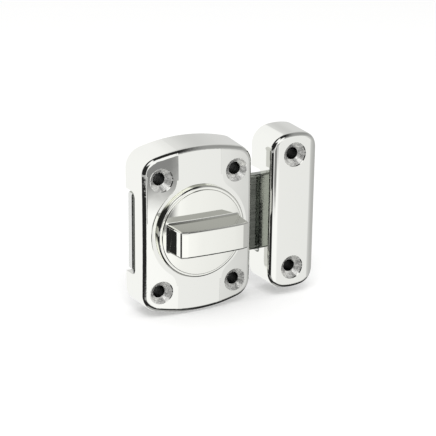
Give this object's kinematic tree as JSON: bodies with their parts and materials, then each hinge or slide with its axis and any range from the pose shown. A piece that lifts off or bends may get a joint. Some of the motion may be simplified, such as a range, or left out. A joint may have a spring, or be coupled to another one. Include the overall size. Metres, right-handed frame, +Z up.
{
  "type": "bathroom latch",
  "caption": "Surface-mounted bathroom latch: a cast case with a turn knob that drives a flat bolt sideways into a separate cast keeper.",
  "frame": {"origin": "centre of the case's back face, on the knob's axis", "axes": "+Z up the door, -Y out of the door towards the user, +X towards the keeper"},
  "size_m": [0.0579, 0.0224, 0.0521],
  "materials": {
    "case_chrome": "mirror-bright chrome plate on a zinc casting",
    "knob_chrome": "mirror-bright chrome plate on a zinc casting",
    "keeper_chrome": "mirror-bright chrome plate on a zinc casting",
    "bolt_metal": "dull grey plated bar, drawn lengthwise",
    "plate_steel": "zinc-plated pressed sheet",
    "screw_steel": "zinc-plated steel",
    "spring_steel": "blued spring steel",
    "spindle_steel": "turned steel",
    "crank_steel": "zinc-plated pressed steel",
    "pin_steel": "turned steel",
    "washer_plastic": "natural nylon"
  },
  "bodies": {
    "case": {"case": "case_chrome", "back_plate": "plate_steel", "plate_screws": "screw_steel", "leaf_spring": "spring_steel"},
    "knob": {"knob": "knob_chrome", "spindle": "spindle_steel", "crank_arm": "crank_steel", "crank_pin": "pin_steel", "spring_washer": "spring_steel", "thrust_washer": "washer_plastic", "lock_washer": "spring_steel", "spindle_screw": "screw_steel"},
    "bolt": {"bolt": "bolt_metal"},
    "keeper": {"keeper": "keeper_chrome"}
  },
  "joints": [
    {"name": "knob_turn", "type": "hinge", "parent": "case", "child": "knob", "pos_m": [0, 0, 0], "axis": [0, 1, 0], "range_deg": [0, 90]},
    {"name": "bolt_slide", "type": "slide", "parent": "case", "child": "bolt", "axis": [-1, 0, 0], "range_m": [0, 0.0105]},
    {"name": "keeper_slide", "type": "slide", "parent": "case", "child": "keeper", "axis": [1, 0, 0], "range_m": [0, 0.02]}
  ],
  "couplings": [
    {"joint": "bolt_slide", "follows": "knob_turn", "m_per_rad": 0.0066624}
  ]
}
